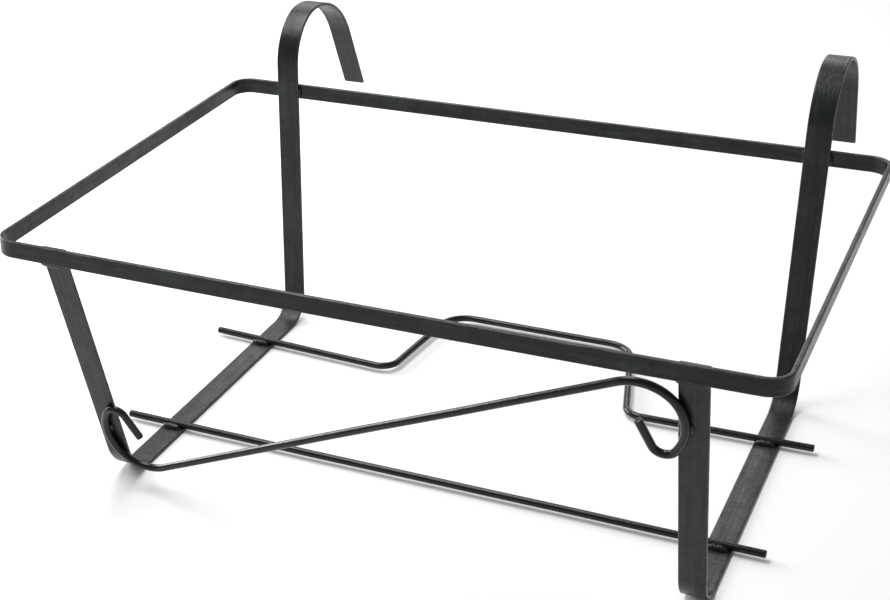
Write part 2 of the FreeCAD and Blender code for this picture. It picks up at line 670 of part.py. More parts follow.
hoop = make_hoop()
left_bracket = make_bracket("left_bracket", "Derived.left_middle")
right_bracket = make_bracket("right_bracket", "Derived.right_middle")
front_rod = make_front_rod()
rear_rod = make_rear_rod()
scroll = make_scroll()
brackets = [left_bracket, right_bracket]
pieces = [hoop, *brackets, front_rod, rear_rod, scroll]
pieces.append(make_leg_welds([hoop, *brackets]))
pieces.append(make_back_welds([hoop, *brackets]))
pieces.append(make_rod_welds([front_rod, rear_rod, *brackets]))
pieces.append(make_scroll_welds([scroll, *brackets]))
doc.recompute()

# ---------------------------------------------------------------- tests before writing

for item in doc.Objects:
    if {"Invalid", "Error"} & set(item.State):
        raise RuntimeError(f"{item.Label} failed: {item.State}")
for piece in pieces:
    if piece.Shape.isNull() or not piece.Shape.isValid():
        raise RuntimeError(f"{piece.Label} has no valid shape")

print("overall depth", round(number_of("Derived.overall_depth"), 2))
os.makedirs("parts", exist_ok=True)
for piece in pieces:
    box = piece.Shape.BoundBox
    low = [round(v, 2) for v in (box.XMin, box.YMin, box.ZMin)]
    high = [round(v, 2) for v in (box.XMax, box.YMax, box.ZMax)]
    print(piece.Label, len(piece.Shape.Solids), "solids", round(piece.Shape.Volume, 2), low, high)
    piece.Shape.exportStep(f"parts/{piece.Label}.step")
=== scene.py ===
"""The looks of a hanging window box holder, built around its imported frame.

Strip and wire are swept as real sections with rounded edges, weld beads are rippled lumps,
and everything wears one charcoal powder coat. Lengths are in metres, in the frame's own axes.
"""

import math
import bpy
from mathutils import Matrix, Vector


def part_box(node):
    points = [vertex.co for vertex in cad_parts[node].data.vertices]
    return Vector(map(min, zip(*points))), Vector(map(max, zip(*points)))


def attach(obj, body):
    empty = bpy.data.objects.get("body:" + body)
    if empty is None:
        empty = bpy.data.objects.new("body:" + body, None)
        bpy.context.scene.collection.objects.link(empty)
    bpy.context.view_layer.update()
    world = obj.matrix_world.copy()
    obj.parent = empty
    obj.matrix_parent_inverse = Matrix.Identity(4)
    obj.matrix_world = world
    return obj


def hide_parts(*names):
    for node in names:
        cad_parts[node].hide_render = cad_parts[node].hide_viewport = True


bl_info = {
    "name": "Window Box Holder",
    "version": (1, 0, 0),
    "blender": (4, 5, 0),
    "location": "View3D > Sidebar > Holder",
    "description": "Builds a powder-coated window box holder and its studio",
    "category": "Add Mesh",
}

import bpy
from mathutils import Matrix, Vector, noise

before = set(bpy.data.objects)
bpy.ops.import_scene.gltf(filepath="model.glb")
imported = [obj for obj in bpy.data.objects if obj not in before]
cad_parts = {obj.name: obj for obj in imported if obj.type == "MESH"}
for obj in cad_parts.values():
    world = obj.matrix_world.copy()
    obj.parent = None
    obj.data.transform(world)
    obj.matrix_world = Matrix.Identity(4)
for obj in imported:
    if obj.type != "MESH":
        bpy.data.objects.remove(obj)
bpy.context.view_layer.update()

HOOP_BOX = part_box("hoop")
LEFT_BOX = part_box("left_bracket")
RIGHT_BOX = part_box("right_bracket")
FRONT_ROD_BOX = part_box("front_cross_rod")
REAR_ROD_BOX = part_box("rear_cross_rod")
BODY = "root"


def length(name, default, description):
    return bpy.props.FloatProperty(
        name=name, default=default, description=description, unit="LENGTH", precision=4
    )


def angle(name, degrees, description):
    return bpy.props.FloatProperty(
        name=name, default=math.radians(degrees), description=description, subtype="ANGLE"
    )


def share(name, default, description):
    return bpy.props.FloatProperty(
        name=name, default=default, description=description, min=0, max=1, subtype="FACTOR"
    )


def colour(name, default, description):
    return bpy.props.FloatVectorProperty(
        name=name, default=default, description=description, size=3, min=0, max=1, subtype="COLOR"
    )


# ---------------------------------------------------------------- what a user may change


class HolderSizes(bpy.types.PropertyGroup):
    """Sections, bends and small forms that the frame's boxes don't give."""

    hoop_thickness: length("Hoop strip", 0.0025, "Thickness of the hoop's strip")
    hoop_corner: length("Hoop corner", 0.012, "Outside radius of the hoop's corners")
    hoop_sag: length("Hoop sag", 0.0008, "How far the middle of the hoop's front bar sags")
    bracket_thickness: length("Bracket strip", 0.002, "Thickness of the brackets' strip")
    leg_end_drop: length("Leg end", 0.0008, "Hoop's top edge down to the end of a leg")
    leg_tab: length("Leg tab", 0.0035, "Flat end of a leg, inside the hoop")
    leg_tab_radius: length("Tab bend", 0.003, "Inside radius of the bend below the tab")
    leg_lean: angle("Leg lean", 17.3, "Lean of the legs from the vertical")
    foot_radius: length("Foot bend", 0.026, "Inside radius from leg to floor bar")
    back_radius: length("Back bend", 0.0165, "Inside radius from floor bar to back bar")
    hook_front: length("Hook front bend", 0.031, "Outside radius of the hook's front bend")
    hook_rear: length("Hook rear bend", 0.057, "Outside radius of the hook's rear bend")
    hook_turn: angle("Hook rear turn", 62, "Turn of the hook's rear bend")
    hook_limb: length("Hook limb", 0.047, "Straight end of the hook")
    edge_radius: length("Strip edge", 0.0007, "Rounding of the strip's rolled edges")
    wire_end_radius: length("Wire end", 0.0007, "Rounding of the wire's cut ends")
    rod_wander: length("Rod wander", 0.0003, "How far the wire strays from a true line")
    arm_left: angle("Left arm sweep", 3.2, "Backward sweep of the rear rod's left arm")
    arm_right: angle("Right arm sweep", 1.5, "Backward sweep of the rear rod's right arm")
    bumper_start: length("Bumper start", 0.0808, "Left bracket's middle to the bumper's bend")
    bumper_straight: length("Bumper straight", 0.09, "Straight back stretch of the bumper")
    bumper_left: angle("Bumper left side", 84, "Angle of the bumper's left side")
    bumper_right: angle("Bumper right side", 76, "Angle of the bumper's right side")
    bumper_root: length("Bumper root bend", 0.011, "Bends where the bumper leaves the rod")
    bumper_corner: length("Bumper corner", 0.018, "Back corners of the bumper")
    bumper_reach: length("Bumper reach", 0.0845, "Rod's arms back to the bumper's straight")
    scroll_offset: length("Scroll offset", -0.0021, "Scroll's middle from midway of the legs")
    scroll_top_gap: length("Scroll top gap", 0.003, "Hoop's lower edge down to the scroll")
    scroll_foot_gap: length("Scroll foot gap", 0.0126, "Floor up to the scroll")
    scroll_inset: length("Scroll inset", 0.00095, "Bracket's middle in to the scroll's curl")
    curl_first: length("Curl bend", 0.0204, "First bend of each curl")
    curl_side: length("Curl side", 0.0294, "Long side of each curl")
    curl_side_slope: angle("Curl side slope", 65, "Downward slope where the long side starts")
    curl_side_turn: angle("Curl side turn", 57.3, "Turn of the long side")
    curl_tip: length("Curl tip", 0.006, "Tight last bend of each curl")
    curl_tip_turn: angle("Curl tip turn", 125.8, "Turn of the last bend")
    curl_tail: length("Curl tail", 0.0164, "Straight tail after the last bend")


class HolderFinish(bpy.types.PropertyGroup):
    """The powder coat."""

    strip_colour: colour("Strip coat", (0.0078, 0.0108, 0.0101), "Coat on the flat strip")
    wire_colour: colour("Wire coat", (0.0062, 0.0084, 0.0079), "Coat on the round wire")
    weld_colour: colour("Weld coat", (0.0058, 0.0080, 0.0075), "Coat over the weld beads")
    # painted highlight colour along the rounded edges and cut ends
    edge_highlight_colour: colour("Painted edge highlight", (0.105, 0.114, 0.111), "Painted highlight on rounded edges and cut ends")
    # painted sheen colour on faces that look up
    top_sheen_colour: colour("Painted top sheen", (0.33, 0.33, 0.31), "Painted sheen on faces that look up")
    strip_gloss: share("Strip roughness", 0.34, "Roughness of the coat on strip")
    wire_gloss: share("Wire roughness", 0.22, "Roughness of the coat on wire")
    weld_gloss: share("Weld roughness", 0.32, "Roughness of the coat over welds")
    peel: length("Orange peel", 0.0013, "Size of the coat's fine ripple")
    mottle: length("Mottle", 0.009, "Size of the coat's cloudy patches")
    streak: length("Streak width", 0.0016, "Width of the rolled lines under the coat")


class StudioSettings(bpy.types.PropertyGroup):
    """Camera, light and floor."""

    azimuth: angle("Azimuth", 27.28, "Turn of the view from straight ahead, to the left")
    pitch: angle("Pitch", 28.55, "Downward tilt of the view")
    roll: angle("Roll", -2.17, "Roll of the camera")
    eye: bpy.props.FloatVectorProperty(
        name="Camera place",
        description="Where the camera stands",
        default=(0.2894, -0.8253, 0.4989),
        unit="LENGTH",
        size=3,
    )
    lens: bpy.props.FloatProperty(
        name="Lens", default=68.1, description="Focal length on a 36 mm sensor, in millimetres"
    )
    shift: bpy.props.FloatVectorProperty(
        name="Shift",
        description="Where the photograph is cut from the lens's picture",
        default=(0.1892, 0.0978),
        size=2,
    )
    floor_colour: colour("Floor", (0.86, 0.86, 0.86), "Colour of the floor")
    sky: bpy.props.FloatProperty(
        name="Room light", default=0.3, description="Strength of the even light from all round"
    )
    softbox_distance: length("Softbox distance", 1.5, "From the holder to each softbox")
    lit_floor: length("Lit floor", 1.3, "Where the lit floor has faded into the white backdrop")
    paper: colour("Backdrop", (0.98, 0.98, 0.98), "White of the backdrop beyond the floor")


# ---------------------------------------------------------------- lines of bent strip and wire

RUN_SPACING = 0.006
BEND_SPACING = math.radians(4)


class Flat:
    """A plane that a bent line lies in: an origin, two directions in it and one across it."""

    def __init__(self, origin, along, up):
        self.origin = Vector(origin)
        self.along = Vector(along).normalized()
        self.up = Vector(up).normalized()
        self.across = self.along.cross(self.up)

    def point(self, u, v):
        return self.origin + self.along * u + self.up * v

    def direction(self, u, v):
        return self.along * u + self.up * v


def bent_line(start, heading, steps):
    """Samples (u, v, heading) along runs (length,) and bends (radius, turn), end to end.

    A positive turn bends to the left.
    """
    u, v = start
    samples = [(u, v, heading)]
    for step in steps:
        if len(step) == 1:
            count = max(1, math.ceil(step[0] / RUN_SPACING))
            for _ in range(count):
                u += math.cos(heading) * step[0] / count
                v += math.sin(heading) * step[0] / count
                samples.append((u, v, heading))
            continue
        radius, turn = step
        side = math.copysign(1, turn)
        centre_u = u - math.sin(heading) * radius * side
        centre_v = v + math.cos(heading) * radius * side
        count = max(1, math.ceil(abs(turn) / BEND_SPACING))
        for _ in range(count):
            heading += turn / count
            u = centre_u + math.sin(heading) * radius * side
            v = centre_v - math.cos(heading) * radius * side
            samples.append((u, v, heading))
    return samples


def line_end(start, heading, steps):
    return Vector(bent_line(start, heading, steps)[-1][:2])


# ---------------------------------------------------------------- sections


def strip_section(thickness, width, radius, inset=0.0):
    """A rounded rectangle, with a painted edge highlight mask that is 1 on the rounded edges."""
    corner_steps = 4
    least_share = 0.15
    half_a = thickness / 2 - inset
    half_b = width / 2 - inset
    radius = max(radius - inset, radius * least_share)
    points = []
    for quarter, (side_a, side_b) in enumerate([(1, 1), (-1, 1), (-1, -1), (1, -1)]):
        for k in range(corner_steps + 1):
            turn = math.radians(90) * (quarter + k / corner_steps)
            a = side_a * (half_a - radius) + radius * math.cos(turn)
            b = side_b * (half_b - radius) + radius * math.sin(turn)
            middle = 1 - abs(2 * k / corner_steps - 1)
            points.append((a, b, middle))
    return points


def wire_section(diameter, inset=0.0):
    sides = 24
    radius = diameter / 2 - inset
    points = []
    for k in range(sides):
        turn = math.tau * k / sides
        points.append((radius * math.cos(turn), radius * math.sin(turn), 0.0))
    return points


# ---------------------------------------------------------------- meshes


def new_piece(name, vertices, faces, mask, runs):
    """A mesh with its mask of painted edge highlight, and where each point lies along and across
    the strip.
    """
    mesh = bpy.data.meshes.new(name)
    mesh.from_pydata(vertices, [], faces)
    # painted edge highlight: a mask that is 1 on rounded edges and cut ends
    attribute = mesh.attributes.new("painted_edge_highlight", "FLOAT", "POINT")
    attribute.data.foreach_set("value", mask)
    attribute = mesh.attributes.new("run", "FLOAT_VECTOR", "POINT")
    attribute.data.foreach_set("vector", [number for run in runs for number in run])
    mesh.validate()
    for polygon in mesh.polygons:
        polygon.use_smooth = True
    piece = bpy.data.objects.new(name, mesh)
    bpy.context.scene.collection.objects.link(piece)
    weighted = piece.modifiers.new("even_faces", "WEIGHTED_NORMAL")
    weighted.keep_sharp = True
    return piece


def sweep(name, flat, samples, section, end_radius, closed=False, drop=None):
    """A section carried along a bent line that lies in a plane.

    section(inset) gives the ring. Ends are rounded off over end_radius. drop(point) moves the
    finished points, for a bar that sags.
    """
    end_steps = 4
    rings = []
    for u, v, heading in samples:
        rings.append((Vector((u, v)), heading, 0.0))
    if closed:
        rings.pop()
    else:
        start, end = rings[0], rings[-1]
        ahead = Vector((math.cos(start[1]), math.sin(start[1])))
        rings[0] = (start[0] + ahead * end_radius, start[1], 0.0)
        ahead_end = Vector((math.cos(end[1]), math.sin(end[1])))
        rings[-1] = (end[0] - ahead_end * end_radius, end[1], 0.0)
        front = []
        back = []
        for k in range(1, end_steps + 1):
            turn = math.radians(90) * k / end_steps
            inset = end_radius * (1 - math.cos(turn))
            forward = end_radius * (1 - math.sin(turn))
            front.insert(0, (start[0] + ahead * forward, start[1], inset))
            back.append((end[0] - ahead_end * forward, end[1], inset))
        rings = front + rings + back

    vertices = []
    mask = []
    runs = []
    travel = 0.0
    before = rings[0][0]
    for middle, heading, inset in rings:
        centre = flat.point(*middle)
        travel += (middle - before).length
        before = middle
        left = flat.direction(-math.sin(heading), math.cos(heading))
        for a, b, edge in section(inset):
            point = centre + left * a + flat.across * b
            vertices.append(drop(point) if drop else point)
            # painted highlight mask: the rounded edges and the rounded-off cut ends
            mask.append(max(edge, min(1.0, 2 * inset / end_radius) if inset else 0.0))
            runs.append((travel, a, b))
    size = len(section(0.0))
    faces = []
    for ring in range(len(rings) - (0 if closed else 1)):
        here = ring * size
        there = ((ring + 1) % len(rings)) * size
        for k in range(size):
            after = (k + 1) % size
            faces.append((here + k, here + after, there + after, there + k))
    if not closed:
        last = (len(rings) - 1) * size
        faces.append(tuple(reversed(range(size))))
        faces.append(tuple(range(last, last + size)))
    return new_piece(name, vertices, faces, mask, runs)


def stray(samples, amount, seed):
    """The same line with a slow, small wander to the side, as in hand-cut wire."""
    reach = 0.07
    out = []
    for u, v, heading in samples:
        side = noise.noise(Vector((u / reach, v / reach, seed))) * amount
        out.append((u - math.sin(heading) * side, v + math.cos(heading) * side, heading))
    return out


def finish_piece(piece, nodes, material):
    piece.data.materials.append(material)
    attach(piece, BODY)
    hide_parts(*nodes)
    return piece


# ---------------------------------------------------------------- shader groups


def new_group(name, inputs, outputs):
    """A shader node group with its input and output nodes."""
    group = bpy.data.node_groups.new(name, "ShaderNodeTree")
    for socket_name, kind, default in inputs:
        socket = group.interface.new_socket(socket_name, in_out="INPUT", socket_type=kind)
        socket.default_value = default
    for socket_name, kind in outputs:
        group.interface.new_socket(socket_name, in_out="OUTPUT", socket_type=kind)
    return group, group.nodes.new("NodeGroupInput"), group.nodes.new("NodeGroupOutput")


def add_math(tree, operation, first, second):
    """A Math node whose two inputs are sockets or numbers. Returns its output."""
    node = tree.nodes.new("ShaderNodeMath")
    node.operation = operation
    for socket, value in zip(node.inputs, (first, second)):
        if isinstance(value, bpy.types.NodeSocket):
            tree.links.new(value, socket)
        else:
            socket.default_value = value
    return node.outputs[0]


def add_noise(tree, coordinates, scale, detail, roughness=0.5):
    node = tree.nodes.new("ShaderNodeTexNoise")
    tree.links.new(coordinates, node.inputs["Vector"])
    node.inputs["Detail"].default_value = detail
    node.inputs["Roughness"].default_value = roughness
    if isinstance(scale, bpy.types.NodeSocket):
        tree.links.new(scale, node.inputs["Scale"])
    else:
        node.inputs["Scale"].default_value = scale
    return node.outputs["Fac"]


def add_range(tree, value, low, high, to_low=0.0, to_high=1.0):
    node = tree.nodes.new("ShaderNodeMapRange")
    tree.links.new(value, node.inputs["Value"])
    for name, number in (("From Min", low), ("From Max", high)):
        node.inputs[name].default_value = number
    for name, number in (("To Min", to_low), ("To Max", to_high)):
        node.inputs[name].default_value = number
    return node.outputs["Result"]


def add_mix(tree, share_socket, first, second):
    """A colour mix. Returns its output."""
    node = tree.nodes.new("ShaderNodeMix")
    node.data_type = "RGBA"
    tree.links.new(share_socket, node.inputs["Factor"])
    for name, value in (("A", first), ("B", second)):
        socket = next(s for s in node.inputs if s.name == name and s.type == "RGBA")
        if isinstance(value, bpy.types.NodeSocket):
            tree.links.new(value, socket)
        else:
            socket.default_value = value
    return next(s for s in node.outputs if s.type == "RGBA")


def coat_grain_group():
    """Powder coat: a fine orange peel, larger ripples, and cloudy patches."""
    group, inside, outside = new_group(
        "coat_grain",
        [("Peel Size", "NodeSocketFloat", 0.0013), ("Mottle Size", "NodeSocketFloat", 0.009)],
        [("Height", "NodeSocketFloat"), ("Mottle", "NodeSocketFloat")],
    )
    ripple_scale = 0.35
    ripple_height = 1.6
    place = group.nodes.new("ShaderNodeTexCoord").outputs["Object"]
    fine = add_math(group, "DIVIDE", 1.0, inside.outputs["Peel Size"])
    coarse = add_math(group, "DIVIDE", ripple_scale, inside.outputs["Peel Size"])
    patch = add_math(group, "DIVIDE", 1.0, inside.outputs["Mottle Size"])
    peel = add_noise(group, place, fine, detail=1.5)
    ripple = add_noise(group, place, coarse, detail=1.0)
    cloud = add_noise(group, place, patch, detail=4.0, roughness=0.6)
    height = add_math(group, "ADD", peel, add_math(group, "MULTIPLY", ripple, ripple_height))
    group.links.new(height, outside.inputs["Height"])
    group.links.new(add_range(group, cloud, 0.32, 0.68), outside.inputs["Mottle"])
    return group


def painted_highlight_edges_group():
    """Painted highlight on rolled edges and cut ends, broken up along their length."""
    group, inside, outside = new_group(
        "painted_highlight_edges",
        [("Edge", "NodeSocketFloat", 0.0), ("Amount", "NodeSocketFloat", 0.5)],
        [("Mask", "NodeSocketFloat")],
    )
    breaks_per_metre = 160.0
    place = group.nodes.new("ShaderNodeTexCoord").outputs["Object"]
    breaks = add_noise(group, place, breaks_per_metre, detail=3.0, roughness=0.65)
    broken = add_range(group, breaks, 0.34, 0.62)
    shown = add_math(group, "MULTIPLY", inside.outputs["Edge"], broken)
    mask = add_math(group, "MULTIPLY", shown, inside.outputs["Amount"])
    group.links.new(mask, outside.inputs["Mask"])
    return group


def rolled_streaks_group():
    """Faint lines along the strip or wire, left by its rolling and showing through the coat."""
    group, inside, outside = new_group(
        "rolled_streaks",
        [("Length", "NodeSocketFloat", 0.05), ("Width", "NodeSocketFloat", 0.0011)],
        [("Streak", "NodeSocketFloat")],
    )
    run = group.nodes.new("ShaderNodeAttribute")
    run.attribute_name = "run"
    split = group.nodes.new("ShaderNodeSeparateXYZ")
    group.links.new(run.outputs["Vector"], split.inputs[0])
    joined = group.nodes.new("ShaderNodeCombineXYZ")
    spans = (inside.outputs["Length"], inside.outputs["Width"], inside.outputs["Width"])
    for axis, span in zip("XYZ", spans):
        stretched = add_math(group, "DIVIDE", split.outputs[axis], span)
        group.links.new(stretched, joined.inputs[axis])
    lines = add_noise(group, joined.outputs[0], 1.0, detail=3.0, roughness=0.6)
    group.links.new(add_range(group, lines, 0.35, 0.65), outside.inputs["Streak"])
    return group


def painted_top_sheen_group():
    """A faint, patchy painted sheen on faces that look up."""
    group, inside, outside = new_group(
        "painted_top_sheen", [("Amount", "NodeSocketFloat", 0.1)], [("Mask", "NodeSocketFloat")]
    )
    # painted sheen: lighter patches where the normal points up
    place = group.nodes.new("ShaderNodeTexCoord").outputs["Object"]
    normal = group.nodes.new("ShaderNodeNewGeometry").outputs["Normal"]
    split = group.nodes.new("ShaderNodeSeparateXYZ")
    group.links.new(normal, split.inputs[0])
    least_upward = 0.55
    specks_per_metre = 420.0
    facing = add_range(group, split.outputs["Z"], least_upward, 1.0)
    specks = add_noise(group, place, specks_per_metre, detail=4.0, roughness=0.7)
    patchy = add_range(group, specks, 0.35, 0.75)
    shown = add_math(group, "MULTIPLY", facing, patchy)
    mask = add_math(group, "MULTIPLY", shown, inside.outputs["Amount"])
    group.links.new(mask, outside.inputs["Mask"])
    return group


def shared_group(name, maker):
    return bpy.data.node_groups.get(name) or maker()


def add_group(tree, name, maker, **values):
    """Places a shared group in a material, with this material's own values."""
    node = tree.nodes.new("ShaderNodeGroup")
    node.node_tree = shared_group(name, maker)
    for socket_name, value in values.items():
        socket = node.inputs[socket_name.replace("_", " ")]
        if isinstance(value, bpy.types.NodeSocket):
            tree.links.new(value, socket)
        else:
            socket.default_value = value
    return node


# ---------------------------------------------------------------- materials


# How the coat's colour, gloss and relief vary about its own values.
DARKEST = 0.3
LIGHTEST = 2.6
GLOSS_SPREAD = 0.09
SHEEN_ROUGHENS = 0.5
STREAK_RELIEF = 0.35
RELIEF_DEPTH = 0.00012
COAT_IOR = 1.38


def opaque(rgb):
    return (*rgb, 1.0)


def coat_material(name, rgb, roughness, bump, highlight_amount, sheen_amount, streak_width):
    """Satin powder coat with its own share of grain, streaks, painted edge highlight and painted
    top sheen.
    """
    finish = bpy.context.scene.holder_finish
    existing = bpy.data.materials.get(name)
    if existing:
        return existing
    material = bpy.data.materials.new(name)
    material.use_nodes = True
    tree = material.node_tree
    shader = tree.nodes["Principled BSDF"]
    grain = add_group(
        tree, "coat_grain", coat_grain_group, Peel_Size=finish.peel, Mottle_Size=finish.mottle
    )
    edge = tree.nodes.new("ShaderNodeAttribute")
    edge.attribute_name = "painted_edge_highlight"
    # painted highlight along rounded edges and cut ends, broken up along their length
    edge_highlight = add_group(
        tree, "painted_highlight_edges", painted_highlight_edges_group, Edge=edge.outputs["Fac"], Amount=highlight_amount
    )
    # painted sheen on faces that look up
    sheen = add_group(tree, "painted_top_sheen", painted_top_sheen_group, Amount=sheen_amount)
    streaks = add_group(tree, "rolled_streaks", rolled_streaks_group, Width=streak_width)

    darker = opaque([channel * DARKEST for channel in rgb])
    lighter = opaque([channel * LIGHTEST for channel in rgb])
    uneven = add_math(tree, "MULTIPLY", grain.outputs["Mottle"], streaks.outputs["Streak"])
    coat = add_mix(tree, uneven, darker, lighter)
    # painted highlight mixed into the coat colour on rounded edges and cut ends
    highlighted = add_mix(tree, edge_highlight.outputs["Mask"], coat, opaque(finish.edge_highlight_colour))
    # painted sheen mixed into the coat colour on faces that look up
    sheened = add_mix(tree, sheen.outputs["Mask"], highlighted, opaque(finish.top_sheen_colour))
    tree.links.new(sheened, shader.inputs["Base Color"])

    rough, smooth = roughness + GLOSS_SPREAD, roughness - GLOSS_SPREAD
    both = add_math(tree, "ADD", grain.outputs["Mottle"], streaks.outputs["Streak"])
    cloudy = add_range(tree, both, 0.0, 2.0, rough, smooth)
    # the painted sheen mask also raises the roughness
    dull = add_math(tree, "MULTIPLY", sheen.outputs["Mask"], SHEEN_ROUGHENS)
    dulled = add_math(tree, "ADD", cloudy, dull)
    tree.links.new(dulled, shader.inputs["Roughness"])

    relief = tree.nodes.new("ShaderNodeBump")
    relief.inputs["Strength"].default_value = bump
    relief.inputs["Distance"].default_value = RELIEF_DEPTH
    lined = add_math(tree, "MULTIPLY", streaks.outputs["Streak"], STREAK_RELIEF)
    height = add_math(tree, "ADD", grain.outputs["Height"], lined)
    tree.links.new(height, relief.inputs["Height"])
    tree.links.new(relief.outputs["Normal"], shader.inputs["Normal"])
    shader.inputs["IOR"].default_value = COAT_IOR
    return material


def strip_coat():
    finish = bpy.context.scene.holder_finish
    return coat_material(
        "strip_coat",
        finish.strip_colour,
        finish.strip_gloss,
        bump=0.6,
        highlight_amount=0.75,
        sheen_amount=0.10,
        streak_width=finish.streak,
    )


def wire_coat():
    finish = bpy.context.scene.holder_finish
    return coat_material(
        "wire_coat",
        finish.wire_colour,
        finish.wire_gloss,
        bump=0.4,
        highlight_amount=0.5,
        sheen_amount=0.08,
        streak_width=finish.streak,
    )


def weld_coat():
    finish = bpy.context.scene.holder_finish
    return coat_material(
        "weld_coat",
        finish.weld_colour,
        finish.weld_gloss,
        bump=0.9,
        highlight_amount=0.0,
        sheen_amount=0.12,
        streak_width=finish.mottle,
    )


# ---------------------------------------------------------------- where things are


def bracket_middle(box):
    return (box[0].x + box[1].x) / 2


def wire_diameter():
    return FRONT_ROD_BOX[1].z - FRONT_ROD_BOX[0].z


def leg_line():
    """The leg's front face: where it leaves its tab, and where it would meet the floor."""
    sizes = bpy.context.scene.holder_sizes
    lean = sizes.leg_lean
    outer = sizes.leg_tab_radius + sizes.bracket_thickness
    top = HOOP_BOX[1].z - sizes.leg_end_drop - sizes.leg_tab
    y = LEFT_BOX[0].y + outer - outer * math.cos(lean)
    z = top - outer * math.sin(lean)
    return y, z, y + z * math.tan(lean)


def scroll_flat():
    """The plane of the scroll's wire, in front of the legs, from the floor up their slope."""
    lean = bpy.context.scene.holder_sizes.leg_lean
    radius = wire_diameter() / 2
    foot = leg_line()[2]
    origin = (0, foot - radius * math.cos(lean), -radius * math.sin(lean))
    return Flat(origin, (1, 0, 0), (0, -math.sin(lean), math.cos(lean)))


# ---------------------------------------------------------------- operators


class HOLDER_OT_build_hoop(bpy.types.Operator):
    """Bend one strip on edge into the rectangular hoop"""

    bl_idname = "holder.build_hoop"
    bl_label = "Hoop"
    bl_options = {"REGISTER", "UNDO"}

    def execute(self, context):
        sizes = context.scene.holder_sizes
        low, high = HOOP_BOX
        half = sizes.hoop_thickness / 2
        radius = sizes.hoop_corner - half
        wide = high.x - low.x - 2 * sizes.hoop_corner
        deep = high.y - low.y - 2 * sizes.hoop_corner
        steps = []
        for side in (wide, deep, wide, deep):
            steps += [(side,), (radius, math.radians(90))]
        start = (low.x + sizes.hoop_corner, low.y + half)
        flat = Flat((0, 0, (low.z + high.z) / 2), (1, 0, 0), (0, 1, 0))
        middle = (low.x + high.x) / 2
        half_width = (high.x - low.x) / 2

        def sag(point):
            front = max(0.0, 1 - (point.y - low.y) / sizes.hoop_corner)
            bow = max(0.0, 1 - ((point.x - middle) / half_width) ** 2)
            return point - Vector((0, 0, sizes.hoop_sag * front * bow))

        def section(inset):
            return strip_section(
                sizes.hoop_thickness, high.z - low.z, sizes.edge_radius, inset
            )

        samples = bent_line(start, 0.0, steps)
        piece = sweep(
            "hoop_strip", flat, samples, section, sizes.edge_radius, closed=True, drop=sag
        )
        finish_piece(piece, ["hoop"], strip_coat())
        return {"FINISHED"}


class HOLDER_OT_build_brackets(bpy.types.Operator):
    """Bend each bracket: leg, floor bar, back bar and rail hook from one strip"""

    bl_idname = "holder.build_brackets"
    bl_label = "Brackets"
    bl_options = {"REGISTER", "UNDO"}

    def execute(self, context):
        sizes = context.scene.holder_sizes
        thickness = sizes.bracket_thickness
        half = thickness / 2
        lean = sizes.leg_lean
        tab_bend = sizes.leg_tab_radius + half
        foot_bend = sizes.foot_radius + half
        back_bend = sizes.back_radius + half
        front_hook = sizes.hook_front - half
        rear_hook = sizes.hook_rear - half

        for name, box in (("left_bracket", LEFT_BOX), ("right_bracket", RIGHT_BOX)):
            low, high = box
            start = (low.y + half, HOOP_BOX[1].z - sizes.leg_end_drop)
            drop = start[1] - half - sizes.leg_tab - tab_bend * math.sin(lean)
            leg = (drop - foot_bend * (1 - math.sin(lean))) / math.cos(lean)
            steps = [
                (sizes.leg_tab,),
                (tab_bend, lean),
                (leg,),
                (foot_bend, math.radians(90) - lean),
            ]
            back_line = HOOP_BOX[1].y - sizes.hoop_thickness - half
            foot_end = line_end(start, math.radians(-90), steps)
            steps += [
                (back_line - back_bend - foot_end.x,),
                (back_bend, math.radians(90)),
                (high.z - sizes.hook_front - half - back_bend,),
                (front_hook, math.radians(-90)),
                (rear_hook, -sizes.hook_turn),
                (sizes.hook_limb,),
            ]

            def section(inset, width=high.x - low.x):
                return strip_section(thickness, width, sizes.edge_radius, inset)

            flat = Flat((bracket_middle(box), 0, 0), (0, 1, 0), (0, 0, 1))
            samples = bent_line(start, math.radians(-90), steps)
            piece = sweep(f"{name}_strip", flat, samples, section, sizes.edge_radius)
            finish_piece(piece, [name], strip_coat())
        return {"FINISHED"}


def wire_piece(name, node, flat, samples, seed):
    """Round wire along a line, finished as the node's stand-in."""
    sizes = bpy.context.scene.holder_sizes

    def section(inset):
        return wire_section(wire_diameter(), inset)

    line = stray(samples, sizes.rod_wander, seed)
    piece = sweep(name, flat, line, section, sizes.wire_end_radius)
    return finish_piece(piece, [node], wire_coat())


def rear_rod_line():
    """The rear rod from its left end to its right end, with the bumper between its two arms."""
    sizes = bpy.context.scene.holder_sizes
    low, high = REAR_ROD_BOX
    radius = wire_diameter() / 2
    left, right = sizes.bumper_left, sizes.bumper_right
    root, corner = sizes.bumper_root, sizes.bumper_corner
    left_end = low.x + radius * math.sin(sizes.arm_left)
    arm = (bracket_middle(LEFT_BOX) + sizes.bumper_start - left_end) / math.cos(sizes.arm_left)

    def side(angle_of_side, arm_sweep):
        bends = root * (math.cos(arm_sweep) - math.cos(angle_of_side))
        bends += corner * (1 - math.cos(angle_of_side))
        return (sizes.bumper_reach - bends) / math.sin(angle_of_side)

    rod_y = high.y - radius - sizes.bumper_reach
    start = (left_end, rod_y + arm * math.sin(sizes.arm_left))
    steps = [
        (arm,),
        (root, sizes.arm_left + left),
        (side(left, sizes.arm_left),),
        (corner, -left),
        (sizes.bumper_straight,),
        (corner, -right),
        (side(right, sizes.arm_right),),
        (root, right + sizes.arm_right),
    ]
    bumper_end = line_end(start, -sizes.arm_left, steps)
    steps.append(((high.x - bumper_end.x) / math.cos(sizes.arm_right),))
    return bent_line(start, -sizes.arm_left, steps)


